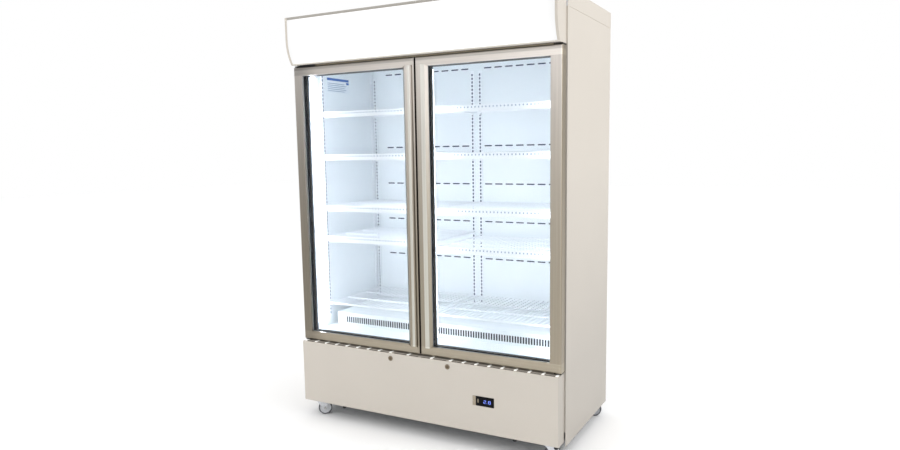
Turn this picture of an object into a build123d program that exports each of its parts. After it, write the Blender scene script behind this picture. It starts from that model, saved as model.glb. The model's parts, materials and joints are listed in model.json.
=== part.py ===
"""Two-door glass merchandiser: an upright display refrigerator on casters.

Millimetres. +X is the user's right, -Y faces the user, +Z is up. The origin is on the floor,
under the middle of the overall box.
"""
from build123d import *
from math import asin, degrees, hypot
import os

os.makedirs("parts", exist_ok=True)

# ---- driving dimensions -------------------------------------------------------------------
half_width = 625          # outer cabinet, from its centre line
depth_front = -335        # front of the light box
depth_back = 335          # back of the cabinet
height = 1794             # floor to the top of the cabinet
skin = 1.5                # outer sheet metal
side_bottom = 52          # lower edge of the side panels
flange_bottom = 112       # lower edge of their front flanges
cabinet_front = -238      # face that the door gaskets close on
seam_height = 1730        # lower edge of the top cap's skirt

door_face = -288
door_back = -248
door_outer = 622          # outer edge of a door, from the centre line
door_centre_gap = 3       # from the centre line to a door's meeting edge
door_bottom = 361
door_top = 1588
hinge_stile = 45
handle_stile = 55
top_rail = 37
bottom_rail = 38
mitre_gap = 0.2
glass_front = -276
pane = 4
glass_cavity = 16
glass_bite = 10           # how far the glass runs into the frame

hinge_x = 612
hinge_y = -268
pin_radius = 4
running_clearance = 0.05

inner_half = 587          # liner walls
liner = 1.2
inner_floor = 395
inner_ceiling = 1620
duct_face = 280           # front of the slotted rear panel
duct_back = 296
foam_front = cabinet_front + 12
machine_ceiling = 345
foam_gap = 0.2

header_bottom = 1596
header_half = 619
header_cap = 10
header_straight = 93      # upright part of the sign, measured down from the top
header_setback = 31       # how far the sign's lower edge curves back
sign_sheet = 3

panel_face = -305
panel_half = 619
panel_bottom = 72
panel_top = 353
tray_half = 616           # half the width of the tray under the machine compartment

shelf_front = -160
shelf_back = 262
shelf_width = 558
shelf_centre = 290
shelf_tops = {"left": (1398, 1205, 971, 828), "right": (1398, 1205, 971, 808)}
deck_top = 513
standard_pitch = 17

caster_front = (560, -274)
caster_rear = (567, 262)
caster_trail = 25
wheel_radius = 31.5
wheel_width = 20

sides = (("left", -1), ("right", 1))


# ---- helpers ------------------------------------------------------------------------------
def block(x, y, z, mode=Mode.ADD):
    """A plain block between the low and high value on each axis."""
    with Locations(((x[0] + x[1]) / 2, (y[0] + y[1]) / 2, (z[0] + z[1]) / 2)):
        Box(x[1] - x[0], y[1] - y[0], z[1] - z[0], mode=mode)


def span(side, near, far):
    """Low and high x of a stretch measured outwards from the centre line."""
    return tuple(sorted((side * near, side * far)))


def rod(radius, start, end, mode=Mode.ADD):
    """A round bar along X, Y or Z between two points."""
    length = hypot(*(b - a for a, b in zip(start, end)))
    turns = {0: (0, 90, 0), 1: (90, 0, 0), 2: (0, 0, 0)}
    axis = max(range(3), key=lambda i: abs(end[i] - start[i]))
    with Locations(tuple((a + b) / 2 for a, b in zip(start, end))):
        Cylinder(radius, length, rotation=turns[axis], mode=mode)


def save(piece, name):
    """Label a finished piece and write it to its own STEP file."""
    piece.part.label = name
    export_step(piece.part, f"parts/{name}.step")


# ---- cabinet shell ------------------------------------------------------------------------
for word, side in sides:
    with BuildPart() as side_panel:
        block(span(side, half_width - skin, half_width), (cabinet_front, depth_back - skin),
              (side_bottom, seam_height - 1))
        block(span(side, half_width - 12, half_width - skin), (cabinet_front, cabinet_front + skin),
              (flange_bottom, seam_height - 1))
    save(side_panel, f"{word}_side_panel")

with BuildPart() as top_cap:
    block((-half_width, half_width), (cabinet_front, depth_back), (height - skin, height))
    for word, side in sides:
        block(span(side, half_width - skin, half_width), (cabinet_front, depth_back),
              (seam_height, height - skin))
    block((-half_width + skin, half_width - skin), (depth_back - skin, depth_back),
          (seam_height, height - skin))
save(top_cap, "top_cap")

vent_rows = 9
inlet_x, inlet_z = 450, 132
with BuildPart() as rear_panel:
    block((-half_width + skin, half_width - skin), (depth_back - skin, depth_back),
          (panel_bottom, seam_height - 1))
    with BuildSketch(Plane.XZ.offset(-depth_back - 1)) as vents:
        with Locations((0, 225)):
            with GridLocations(240, 18, 4, vent_rows):
                SlotOverall(190, 7)
    extrude(amount=skin + 2, mode=Mode.SUBTRACT)
    block((inlet_x - 16, inlet_x + 16), (depth_back - skin - 1, depth_back + 1),
          (inlet_z - 12, inlet_z + 12), mode=Mode.SUBTRACT)
save(rear_panel, "rear_panel")

with BuildPart() as insulation_foam:
    shell = half_width - skin - foam_gap
    wall = inner_half + liner + foam_gap
    low = machine_ceiling + foam_gap
    back = (duct_back + liner + foam_gap, depth_back - skin - foam_gap)
    front = (foam_front + foam_gap, back[0] - foam_gap)
    for word, side in sides:
        block(span(side, wall + foam_gap, shell), front, (low, height - skin - foam_gap))
    block((-wall, wall), front, (inner_ceiling + liner + foam_gap, height - skin - foam_gap))
    block((-wall, wall), front, (low, inner_floor - liner - foam_gap))
    block((-shell, shell), back, (low, height - skin - foam_gap))
save(insulation_foam, "insulation_foam")

with BuildPart() as inner_liner:
    for word, side in sides:
        block(span(side, inner_half, inner_half + liner), (foam_front, duct_back),
              (inner_floor + 0.2, inner_ceiling - 0.2))
    block((-inner_half - liner, inner_half + liner), (foam_front, duct_back),
          (inner_ceiling, inner_ceiling + liner))
    block((-inner_half - liner, inner_half + liner), (foam_front, duct_back),
          (inner_floor - liner, inner_floor))
    block((-inner_half - liner, inner_half + liner), (duct_back + 0.1, duct_back + liner),
          (inner_floor - liner, inner_ceiling + liner))
save(inner_liner, "inner_liner")

slot_length = 39
slot_pitch = 53.7
slot_first = 60
slot_rows = tuple(692 + 180.9 * row for row in range(6))
with BuildPart() as rear_duct_panel:
    block((-inner_half + 1, inner_half - 1), (duct_face, duct_face + liner),
          (inner_floor + 62, inner_ceiling - 1))
    with BuildSketch(Plane.XZ.offset(-duct_face - 5)) as air_slots:
        for row in slot_rows:
            for word, side in sides:
                for count in range(9):
                    with Locations((side * (slot_first + slot_pitch * count), row)):
                        SlotOverall(slot_length, 6)
    extrude(amount=10, mode=Mode.SUBTRACT)
save(rear_duct_panel, "rear_duct_panel")

# The frame that the gaskets close on, and the post between the two openings.
surround_inner = 578
opening_low = inner_floor
opening_high = 1556
with BuildPart() as door_surround:
    outer = half_width - skin - 0.1
    bars = (cabinet_front + skin + 0.1, foam_front)
    lip = (cabinet_front, cabinet_front + skin + 0.1)
    for word, side in sides:
        block(span(side, surround_inner, outer), bars, (opening_low, opening_high))
        block(span(side, surround_inner, half_width - 12.2), lip, (opening_low, opening_high))
    block((-outer, outer), bars, (machine_ceiling, opening_low - 0.2))
    block((-half_width + 12.2, half_width - 12.2), lip, (machine_ceiling, opening_low - 0.2))
    block((-outer, outer), bars, (opening_high + 0.2, height - skin - 0.2))
    block((-half_width + 12.2, half_width - 12.2), lip, (opening_high + 0.2, height - skin - 0.2))
save(door_surround, "door_surround")

mullion_half = 28
mullion_back = -190
with BuildPart() as centre_mullion:
    block((-mullion_half, mullion_half), (cabinet_front, mullion_back), (opening_low, opening_high))
    fillet(centre_mullion.edges().filter_by(Axis.Z).group_by(Axis.Y)[-1], 6)
save(centre_mullion, "centre_mullion")

# ---- shelf supports -----------------------------------------------------------------------
standard_width = 18
standard_low = 430
standard_count = 68
wall_standards = (-136, 262)      # where the side-wall standards stand, along Y
with BuildPart() as shelf_standards:
    tall = (standard_low, standard_low + standard_count * standard_pitch)
    middle = (tall[0] + tall[1]) / 2
    for word, side in sides:
        block(span(side, 11, 29), (duct_face - 3, duct_face), (tall[0] + 30, tall[1]))
        for y in wall_standards:
            block(span(side, inner_half - 3, inner_half), (y - standard_width / 2, y + standard_width / 2),
                  tall)
        block(span(side, 4, 22), (mullion_back, mullion_back + 3), tall)
    with BuildSketch(Plane.XZ.offset(-duct_face - 1)) as back_holes:
        with Locations((-20, middle + 15), (20, middle + 15)):
            with GridLocations(0, standard_pitch, 1, standard_count - 3):
                Rectangle(5, 9)
    extrude(amount=6, mode=Mode.SUBTRACT)
    with BuildSketch(Plane.XZ.offset(-mullion_back + 1)) as post_holes:
        with Locations((-13, middle), (13, middle)):
            with GridLocations(0, standard_pitch, 1, standard_count - 2):
                Rectangle(5, 9)
    extrude(amount=-6, mode=Mode.SUBTRACT)
    with BuildSketch(Plane.YZ.offset(-inner_half - 1)) as wall_holes:
        for y in wall_standards:
            with Locations((y, middle)):
                with GridLocations(0, standard_pitch, 1, standard_count - 2):
                    Rectangle(5, 9)
    extrude(amount=2 * inner_half + 2, mode=Mode.SUBTRACT)
save(shelf_standards, "shelf_standards")

frame_bar = (5, 7)        # width and height of the flat bars under a shelf's wires
deck_wire = 1.6
wire_weld = 0.8           # how far the wires sink into the bars where they are welded
frame_drop = 2 * deck_wire + frame_bar[1] - wire_weld
wire_pitch = 24
rail_height = 27
rail_sheet = 3
clip_size = (13, 16, 9)

levels = {word: shelf_tops[word] + (deck_top,) for word, side in sides}
with BuildPart() as shelf_clips:
    for word, side in sides:
        for top in levels[word]:
            z = (top - frame_drop - 0.1 - clip_size[2], top - frame_drop - 0.1)
            for y in wall_standards:
                block(span(side, inner_half - 3 - clip_size[0], inner_half - 3),
                      (y - clip_size[1] / 2, y + clip_size[1] / 2), z)
            block(span(side, 13, 28), (duct_face - 3 - clip_size[1], duct_face - 3), z)
            if top != deck_top:
                block(span(side, 6, 20), (mullion_back + 3, mullion_back + 3 + 40), z)
save(shelf_clips, "shelf_clips")

# ---- shelves ------------------------------------------------------------------------------
# One wire shelf about its own middle, with its top at z = 0, is copied to every level.
half_shelf = shelf_width / 2
with BuildPart() as wire_shelf:
    bar_z = (-frame_drop, -frame_drop + frame_bar[1])
    for y in (shelf_front, -20, 120, shelf_back - frame_bar[0]):
        block((-half_shelf, half_shelf), (y, y + frame_bar[0]), bar_z)
    for x in (-half_shelf, half_shelf - frame_bar[0]):
        block((x, x + frame_bar[0]), (shelf_front, shelf_back), bar_z)
    wires = round((shelf_width - 16) / wire_pitch)
    for count in range(wires + 1):
        x = -half_shelf + 8 + (shelf_width - 16) * count / wires
        rod(deck_wire, (x, shelf_front, -deck_wire), (x, shelf_back, -deck_wire))
half_rail = half_shelf - 11
with BuildPart() as price_rail:
    block((-half_rail, half_rail), (shelf_front - rail_sheet - 0.2, shelf_front - 0.2),
          (-rail_height, 0))
    for z in ((-rail_height, -rail_height + 2), (-2, 0)):
        block((-half_rail, half_rail), (shelf_front - 7, shelf_front - rail_sheet - 0.2), z)

for word, side in sides:
    for number, top in enumerate(shelf_tops[word], start=1):
        with BuildPart() as shelf:
            with Locations((side * shelf_centre, 0, top)):
                add(wire_shelf.part)
                add(price_rail.part)
        save(shelf, f"shelf_{word}_{number}")
    with BuildPart() as deck_shelf:
        with Locations((side * shelf_centre, 0, deck_top)):
            add(wire_shelf.part)
    save(deck_shelf, f"deck_shelf_{word}")

# ---- evaporator under the deck shelves ----------------------------------------------------
cover_front = -110
cover_half = 563
cover_top = 455
grille_low = 409
grille_high = 437
grille_pitch = 12.2
grille_count = 84
with BuildPart() as evaporator_cover:
    block((-cover_half, cover_half), (cover_front, cover_front + skin), (inner_floor, cover_top))
    block((-cover_half, cover_half), (cover_front + skin, duct_back - 2),
          (cover_top - skin, cover_top))
    for word, side in sides:
        block(span(side, cover_half - skin, cover_half), (cover_front + skin, duct_back - 2),
              (inner_floor, cover_top - skin))
    with BuildSketch(Plane.XZ.offset(-cover_front + 1)) as grille:
        with Locations((0, (grille_low + grille_high) / 2)):
            with GridLocations(grille_pitch, 0, grille_count, 1):
                SlotOverall(grille_high - grille_low, 6, rotation=90)
    extrude(amount=-4, mode=Mode.SUBTRACT)
save(evaporator_cover, "evaporator_cover")

coil_half = 480
blower_y = 215
blower_z = 424
blower_half = 300
with BuildPart() as evaporator_coil:
    for word, side in sides:
        block(span(side, coil_half, coil_half + 2), (60, 245), (inner_floor, cover_top - 5))
    for row in range(2):
        for column in range(5):
            spot = (78 + 16 * column, 408 + 26 * row)
            rod(4.8, (-coil_half, *spot), (coil_half, *spot))
    with Locations((0, 110, (inner_floor + cover_top - 5) / 2)):
        with GridLocations(12, 0, 79, 1):
            Box(0.8, 88, cover_top - inner_floor - 8)
    for x in (-blower_half - 24, blower_half + 20):
        block((x, x + 4), (blower_y - 26, blower_y + 26), (inner_floor, cover_top - 5))
        rod(3 + running_clearance, (x - 1, blower_y, blower_z), (x + 5, blower_y, blower_z),
            mode=Mode.SUBTRACT)
    block((-blower_half - 60, -blower_half - 28), (blower_y - 20, blower_y + 20),
          (inner_floor, cover_top - 8))
save(evaporator_coil, "evaporator_coil")

with BuildPart() as evaporator_blower:
    rod(3, (-blower_half - 25, blower_y, blower_z), (blower_half + 23, blower_y, blower_z))
    for x in (-blower_half, -100, 100, blower_half - 3):
        rod(20, (x, blower_y, blower_z), (x + 3, blower_y, blower_z))
    with Locations(Plane.YZ.offset(-blower_half) * Location((blower_y, blower_z, blower_half))):
        with PolarLocations(17.5, 14):
            Box(4.5, 1, 2 * blower_half)
save(evaporator_blower, "evaporator_blower")

# ---- lights inside the cabinet ------------------------------------------------------------
led_low, led_high = 420, 1545
with BuildPart() as interior_led_bars:
    for word, side in sides:
        block(span(side, inner_half - 20, inner_half - 1), (-224, -204), (led_low, led_high))
        block(span(side, mullion_half + 0.5, mullion_half + 14), (-224, -204), (led_low, led_high))
    fillet(interior_led_bars.edges().filter_by(Axis.Z).group_by(Axis.Y)[-1], 5)
save(interior_led_bars, "interior_led_bars")

# ---- light box above the doors ------------------------------------------------------------
bend_top = height - header_straight
bend_drop = bend_top - header_bottom
bend_radius = (bend_drop**2 + header_setback**2) / (2 * header_setback)
bend_angle = degrees(asin(bend_drop / bend_radius))


def bend(inset, turn=bend_angle):
    """The sign's bend in side view, inset from its outer face, from its upper end down."""
    return CenterArc((depth_front + bend_radius, bend_top), bend_radius - inset, 180, turn)


sign_half = header_half - header_cap - 0.2
sign_inset = 1            # the sign sits this far behind the rails' front faces
rail_depth = 9
with BuildPart() as header_sign:
    with BuildSketch(Plane.YZ.offset(-sign_half)):
        with BuildLine():
            outer_bend = bend(sign_inset, bend_angle - 1)
            inner_bend = bend(sign_inset + sign_sheet, bend_angle - 1)
            Line(outer_bend @ 1, inner_bend @ 1)
            Polyline(outer_bend @ 0, ((outer_bend @ 0).X, height - 4), ((inner_bend @ 0).X, height - 4),
                     inner_bend @ 0)
        make_face()
    extrude(amount=2 * sign_half)
save(header_sign, "header_sign")

with BuildPart() as header_end_caps:
    for word, side in sides:
        with BuildSketch(Plane.YZ.offset(side * header_half)):
            with BuildLine():
                edge = bend(0)
                Polyline(edge @ 1, (cabinet_front, (edge @ 1).Y), (cabinet_front, height),
                         ((edge @ 0).X, height), edge @ 0)
            make_face()
        extrude(amount=-side * header_cap)
save(header_end_caps, "header_end_caps")

# The housing's node also holds the two rails that grip the sign's upper and lower edges.
lower_rail = (depth_front + header_setback, depth_front + header_setback + rail_depth)
with BuildPart() as header_housing:
    block((-sign_half, sign_half), (depth_front, depth_front + rail_depth), (height - 3.8, height))
    block((-sign_half, sign_half), lower_rail, (header_bottom, header_bottom + 3))
    block((-sign_half, sign_half), (depth_front + rail_depth + 0.2, cabinet_front - 0.2),
          (height - skin, height))
    block((-sign_half, sign_half), (cabinet_front - skin - 0.2, cabinet_front - 0.2),
          (header_bottom + skin, height - skin))
    block((-sign_half, sign_half), (lower_rail[1] + 0.2, cabinet_front - 0.2),
          (header_bottom, header_bottom + skin))
save(header_housing, "header_housing")

with BuildPart() as header_led_tubes:
    for z in (1655, 1735):
        rod(12, (-590, -268, z), (590, -268, z))
        for word, side in sides:
            block(span(side, 591, 604), (-282, cabinet_front - skin - 0.2), (z - 14, z + 14))
save(header_led_tubes, "header_led_tubes")

# ---- doors --------------------------------------------------------------------------------
def quad(corners, y_low, y_high):
    """A four-cornered bar, drawn in the XZ plane and extruded along Y."""
    with BuildSketch(Plane.XZ.offset(-y_high)) as outline:
        with BuildLine():
            Polyline(*corners, close=True)
        make_face()
    extrude(outline.sketch, amount=y_high - y_low)


def ring(x, z, widths, y_low, y_high, gap):
    """Four mitred bars round an opening; widths are given for low x, high x, low z, high z."""
    ix = (x[0] + widths[0], x[1] - widths[1])
    iz = (z[0] + widths[2], z[1] - widths[3])
    for outer, inner in zip(x, ix):
        quad(((outer, z[0] + gap), (outer, z[1] - gap), (inner, iz[1] - gap), (inner, iz[0] + gap)),
             y_low, y_high)
    for outer, inner in zip(z, iz):
        quad(((x[0], outer), (x[1], outer), (ix[1], inner), (ix[0], inner)), y_low, y_high)


pin_depth = 20
door_z = (door_bottom, door_top)
glass_z = (door_bottom + bottom_rail - glass_bite, door_top - top_rail + glass_bite)
glass_y = (glass_front, glass_front + 2 * pane + glass_cavity)
gasket_inset = 11
gasket_width = 18
gasket_back = cabinet_front - 0.4
grip_edge = 5.5
grip_width = 8
grip_depth = 9
edge_round = 7
inner_bevel = 12

for word, side in sides:
    door_x = span(side, door_centre_gap, door_outer)
    widths = (handle_stile, hinge_stile) if side > 0 else (hinge_stile, handle_stile)
    glass_x = (door_x[0] + widths[0] - glass_bite, door_x[1] - widths[1] + glass_bite)
    with BuildPart() as door_frame:
        ring(door_x, door_z, (*widths, bottom_rail, top_rail), door_face, door_back, mitre_gap)
        front = door_frame.edges().filter_by_position(Axis.Y, door_face - 0.1, door_face + 0.1)
        upright = front.filter_by(Axis.Z).sort_by(Axis.X)
        level = front.filter_by(Axis.X).sort_by(Axis.Z)
        fillet(upright[0:1] + upright[-1:] + level[0:1] + level[-1:], edge_round)
        inner_edge = side * (door_centre_gap + handle_stile)
        front = door_frame.edges().filter_by_position(Axis.Y, door_face - 0.1, door_face + 0.1)
        upright = front.filter_by(Axis.Z)
        chamfer(upright.filter_by_position(Axis.X, inner_edge - 0.1, inner_edge + 0.1), inner_bevel)
        block(span(side, door_centre_gap + grip_edge, door_centre_gap + grip_edge + grip_width),
              (door_face, door_face + grip_depth), (door_bottom + 30, door_top - 30), mode=Mode.SUBTRACT)
        block((glass_x[0] - 0.3, glass_x[1] + 0.3), (glass_y[0] - 0.1, glass_y[1] + 0.1),
              (glass_z[0] - 0.3, glass_z[1] + 0.3), mode=Mode.SUBTRACT)
        for z in (door_bottom, door_top - pin_depth - 1):
            rod(pin_radius + running_clearance, (side * hinge_x, hinge_y, z),
                (side * hinge_x, hinge_y, z + pin_depth + 1), mode=Mode.SUBTRACT)
    save(door_frame, f"door_frame_{word}")

    with BuildPart() as door_glass:
        block(glass_x, (glass_y[0], glass_y[0] + pane), glass_z)
        block(glass_x, (glass_y[1] - pane, glass_y[1]), glass_z)
    save(door_glass, f"door_glass_{word}")

    with BuildPart() as glazing_spacer:
        ring(glass_x, glass_z, (glass_bite,) * 4, glass_y[0] + pane, glass_y[1] - pane, mitre_gap)
    save(glazing_spacer, f"glazing_spacer_{word}")

    with BuildPart() as door_gasket:
        ring((door_x[0] + gasket_inset, door_x[1] - gasket_inset),
             (door_bottom + gasket_inset, door_top - gasket_inset), (gasket_width,) * 4,
             door_back, gasket_back, mitre_gap)
    save(door_gasket, f"door_gasket_{word}")

hinge_plate = 4
bracket_y = (hinge_y - 12, cabinet_front)
lower_bracket = (door_bottom - 1 - hinge_plate, door_bottom - 1)
upper_bracket = (door_top + 1.5, door_top + 1.5 + hinge_plate)
with BuildPart() as hinge_brackets:
    for word, side in sides:
        pin = (side * hinge_x, hinge_y)
        for bracket in (lower_bracket, upper_bracket):
            block(span(side, hinge_x - 22, hinge_x + 8), bracket_y, bracket)
        rod(pin_radius, (*pin, lower_bracket[1]), (*pin, door_bottom + pin_depth))
        rod(pin_radius, (*pin, door_top - pin_depth), (*pin, upper_bracket[0]))
save(hinge_brackets, "hinge_brackets")

# ---- machine compartment ------------------------------------------------------------------
panel_return = 66
web = 12.5
vent_pitch = 57.6
lock_x = 139
lock_z = 331
lock_hole = 9.5
window_x = (253, 349)
window_z = (187, 228)
vent_y = (panel_face + 5, panel_face + 17)
vent_z = (panel_top - 5, panel_top + 1)
vent_middles = [vent_pitch / 2] + [lock_x + 38 + vent_pitch * count for count in range(8)]
with BuildPart() as lower_front_panel:
    inside = panel_face + panel_return
    block((-panel_half, panel_half), (panel_face, inside), (panel_bottom, panel_top))
    fillet(lower_front_panel.edges().filter_by(Axis.X).group_by(Axis.Y)[0], 4)
    block((-panel_half + skin, panel_half - skin), (panel_face + skin, inside + 1),
          (panel_bottom + skin, panel_top - skin), mode=Mode.SUBTRACT)
    block((-tray_half - 0.5, tray_half + 0.5), (panel_face + 12.5, inside + 1),
          (panel_bottom - 1, panel_bottom + 2 * skin), mode=Mode.SUBTRACT)
    block(window_x, (panel_face - 1, panel_face + skin + 1), window_z, mode=Mode.SUBTRACT)
    for word, side in sides:
        for middle in vent_middles:
            block(span(side, middle - (vent_pitch - web) / 2, middle + (vent_pitch - web) / 2),
                  vent_y, vent_z, mode=Mode.SUBTRACT)
        block(span(side, 64, 128), vent_y, vent_z, mode=Mode.SUBTRACT)
        rod(lock_hole, (side * lock_x, panel_face - 1, lock_z), (side * lock_x, panel_face + 3, lock_z),
            mode=Mode.SUBTRACT)
save(lower_front_panel, "lower_front_panel")

plug_radius = 7
collar_radius = 11
cam_front = panel_face + 21
cam_reach = 18            # a longer cam would meet the panel's top flange when it turns up
with BuildPart() as lock_barrels:
    for word, side in sides:
        x = side * lock_x
        rod(collar_radius, (x, panel_face - 2, lock_z), (x, panel_face, lock_z))
        rod(lock_hole - 0.1, (x, panel_face, lock_z), (x, cam_front - 1, lock_z))
        rod(plug_radius + running_clearance, (x, panel_face - 3, lock_z), (x, cam_front, lock_z),
            mode=Mode.SUBTRACT)
save(lock_barrels, "lock_barrels")

for word, side in sides:
    x = side * lock_x
    with BuildPart() as lock_plug:
        rod(plug_radius, (x, panel_face - 2.3, lock_z), (x, cam_front, lock_z))
        block((x - 1.2, x + 1.2), (panel_face - 3, panel_face + 4), (lock_z - 4, lock_z + 4),
              mode=Mode.SUBTRACT)
        block((x - cam_reach, x + plug_radius), (cam_front, cam_front + 2.5), (lock_z - 6, lock_z + 6))
    save(lock_plug, f"lock_plug_{word}")

bezel_front = panel_face - 0.4
flange_y = (panel_face + skin + 0.2, panel_face + skin + 3)
key_x = window_x[0] + 8
key_size = (8, 12)
key_slack = 0.35          # clearance round a key in its pocket
key_heights = (198.5, 216.5)
with BuildPart() as controller:
    block((window_x[0] + 0.5, window_x[1] - 0.5), (bezel_front, flange_y[0]),
          (window_z[0] + 0.5, window_z[1] - 0.5))
    block((window_x[0] - 4, window_x[1] + 4), flange_y, (window_z[0] - 4, window_z[1] + 4))
    block((window_x[0] + 8, window_x[1] - 8), (flange_y[1], flange_y[1] + 24),
          (window_z[0] + 4, window_z[1] - 4))
    for z in key_heights:
        block((key_x - key_size[0] / 2 - key_slack, key_x + key_size[0] / 2 + key_slack),
              (bezel_front - 1, bezel_front + 8),
              (z - key_size[1] / 2 - key_slack, z + key_size[1] / 2 + key_slack), mode=Mode.SUBTRACT)
save(controller, "controller")

for word, z in zip(("down", "up"), key_heights):
    with BuildPart() as key:
        block((key_x - key_size[0] / 2, key_x + key_size[0] / 2), (bezel_front - 1.2, bezel_front + 5),
              (z - key_size[1] / 2, z + key_size[1] / 2))
        fillet(key.faces().sort_by(Axis.Y)[0].edges(), 0.8)
    save(key, f"controller_button_{word}")

tray_y = (-242, depth_back - skin - 0.3)
tray_low = 73
tray_sheet = 2
with BuildPart() as base_frame:
    block((-tray_half, tray_half), (panel_face + 13, tray_y[1]), (tray_low, tray_low + tray_sheet))
    block((-tray_half, tray_half), (tray_y[1] - tray_sheet, tray_y[1]), (tray_low, tray_low + 32))
    for word, side in sides:
        block(span(side, tray_half - tray_sheet, tray_half), tray_y, (tray_low, tray_low + 32))
save(base_frame, "base_frame")

floor_z = tray_low + tray_sheet
compressor_x, compressor_y = -300, 60
with BuildPart() as compressor:
    with Locations((compressor_x, compressor_y, floor_z + 14)):
        Cylinder(86, 190, align=(Align.CENTER, Align.CENTER, Align.MIN))
    fillet(compressor.edges().filter_by(GeomType.CIRCLE).sort_by(Axis.Z)[-1], 55)
    block((compressor_x - 105, compressor_x + 105), (compressor_y - 60, compressor_y + 60),
          (floor_z + 10, floor_z + 14))
    for x in (compressor_x - 95, compressor_x + 95):
        for y in (compressor_y - 48, compressor_y + 48):
            rod(9, (x, y, floor_z), (x, y, floor_z + 10))
    rod(5, (compressor_x, compressor_y + 80, floor_z + 90), (compressor_x, compressor_y + 140, floor_z + 90))
    block((compressor_x + 75, compressor_x + 112), (compressor_y - 25, compressor_y + 25),
          (floor_z + 50, floor_z + 105))
save(compressor, "compressor")

condenser_x = (40, 400)
condenser_z = (floor_z, 315)
condenser_y = (-190, -110)
with BuildPart() as condenser:
    for x in condenser_x:
        block((x - 1, x + 1), condenser_y, condenser_z)
    for row in range(7):
        for column in range(2):
            spot = (condenser_y[0] + 22 + 36 * column, floor_z + 22 + 33 * row)
            rod(4.8, (condenser_x[0], *spot), (condenser_x[1], *spot))
    with Locations((sum(condenser_x) / 2, sum(condenser_y) / 2, sum(condenser_z) / 2)):
        with GridLocations(8, 0, 43, 1):
            Box(0.8, condenser_y[1] - condenser_y[0] - 8, condenser_z[1] - condenser_z[0] - 8)
save(condenser, "condenser")

fan_x = (condenser_x[0] + condenser_x[1]) / 2
fan_z = (condenser_z[0] + condenser_z[1]) / 2
fan_radius = 100
shroud_depth = 34
fan_plane_y = condenser_y[1] + 47
motor_y = (condenser_y[1] + 62, condenser_y[1] + 112)
shaft_radius = 4
with BuildPart() as condenser_fan_shroud:
    back = condenser_y[1] + shroud_depth
    block(condenser_x, (condenser_y[1], back), condenser_z)
    block((condenser_x[0] + 2, condenser_x[1] - 2), (condenser_y[1] - 1, back - 2),
          (condenser_z[0] + 2, condenser_z[1] - 2), mode=Mode.SUBTRACT)
    rod(fan_radius + 8, (fan_x, back - 4, fan_z), (fan_x, back + 2, fan_z), mode=Mode.SUBTRACT)
    rod(30, (fan_x, motor_y[0], fan_z), (fan_x, motor_y[1], fan_z))
    block((fan_x - 3, fan_x + 3), (motor_y[1] - 12, motor_y[1] - 6), (floor_z, fan_z - 25))
    rod(shaft_radius + running_clearance, (fan_x, motor_y[0] - 1, fan_z), (fan_x, motor_y[0] + 18, fan_z),
        mode=Mode.SUBTRACT)
save(condenser_fan_shroud, "condenser_fan_shroud")

with BuildPart() as condenser_fan:
    rod(28, (fan_x, fan_plane_y - 11, fan_z), (fan_x, fan_plane_y + 11, fan_z))
    rod(shaft_radius, (fan_x, fan_plane_y + 11, fan_z), (fan_x, motor_y[0] + 16, fan_z))
    with Locations(Plane(origin=(fan_x, fan_plane_y, fan_z), z_dir=(0, -1, 0))):
        with PolarLocations(60, 5):
            Box(76, 46, 2.5, rotation=(28, 0, 0))
save(condenser_fan, "condenser_fan")

with BuildPart() as power_inlet:
    inlet_back = depth_back - skin - 0.2
    block((inlet_x - 24, inlet_x + 24), (inlet_back - 3, inlet_back), (inlet_z - 18, inlet_z + 18))
    block((inlet_x - 14, inlet_x + 14), (inlet_back - 24, inlet_back - 3), (inlet_z - 10, inlet_z + 10))
    block((inlet_x - 12, inlet_x + 12), (inlet_back - 18, inlet_back + 1), (inlet_z - 8, inlet_z + 8),
          mode=Mode.SUBTRACT)
    for x in (inlet_x - 7, inlet_x, inlet_x + 7):
        block((x - 1, x + 1), (inlet_back - 18, inlet_back - 4), (inlet_z - 3, inlet_z + 3))
save(power_inlet, "power_inlet")

# ---- casters ------------------------------------------------------------------------------
plate_z = (70, tray_low)
fork_top = 69.5
fork_sheet = 2.5
leg_gap = 12
stem_radius = 6
axle_radius = 4
casters = {
    "front_left": (-caster_front[0], caster_front[1], 39),
    "front_right": (caster_front[0], caster_front[1], 45),
    "rear_left": (-caster_rear[0], caster_rear[1], 165),
    "rear_right": (caster_rear[0], caster_rear[1], 8),
}
plate_half = (32, 26)
with BuildPart() as caster_plates:
    for x, y, _ in casters.values():
        y_plate = max(y, panel_face + 13 + plate_half[1])
        block((x - plate_half[0], x + plate_half[0]), (y_plate - plate_half[1], y_plate + plate_half[1]),
              plate_z)
        rod(stem_radius + running_clearance, (x, y, plate_z[0] - 1), (x, y, plate_z[1] + 1),
            mode=Mode.SUBTRACT)
save(caster_plates, "caster_plates")

# One caster about its own stem, trailing along +X, is turned to each caster's heading.
leg_outer = leg_gap + fork_sheet
with BuildPart() as fork_shape:
    rod(20, (0, 0, fork_top - fork_sheet), (0, 0, fork_top))
    rod(stem_radius, (0, 0, fork_top), (0, 0, tray_low - 0.3))
    block((0, caster_trail + 6), (-leg_outer, leg_outer), (fork_top - fork_sheet, fork_top))
    for wall in (-1, 1):
        with BuildSketch(Plane.XZ.offset(-wall * (leg_gap + fork_sheet / 2))) as leg:
            with BuildLine():
                Polyline((-14, fork_top), (caster_trail + 12, fork_top),
                         (caster_trail + 8, wheel_radius - 7), (caster_trail - 8, wheel_radius - 7),
                         close=True)
            make_face()
        extrude(leg.sketch, amount=fork_sheet / 2, both=True)
    rod(axle_radius, (caster_trail, -leg_outer - 2, wheel_radius),
        (caster_trail, leg_outer + 2, wheel_radius))

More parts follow.
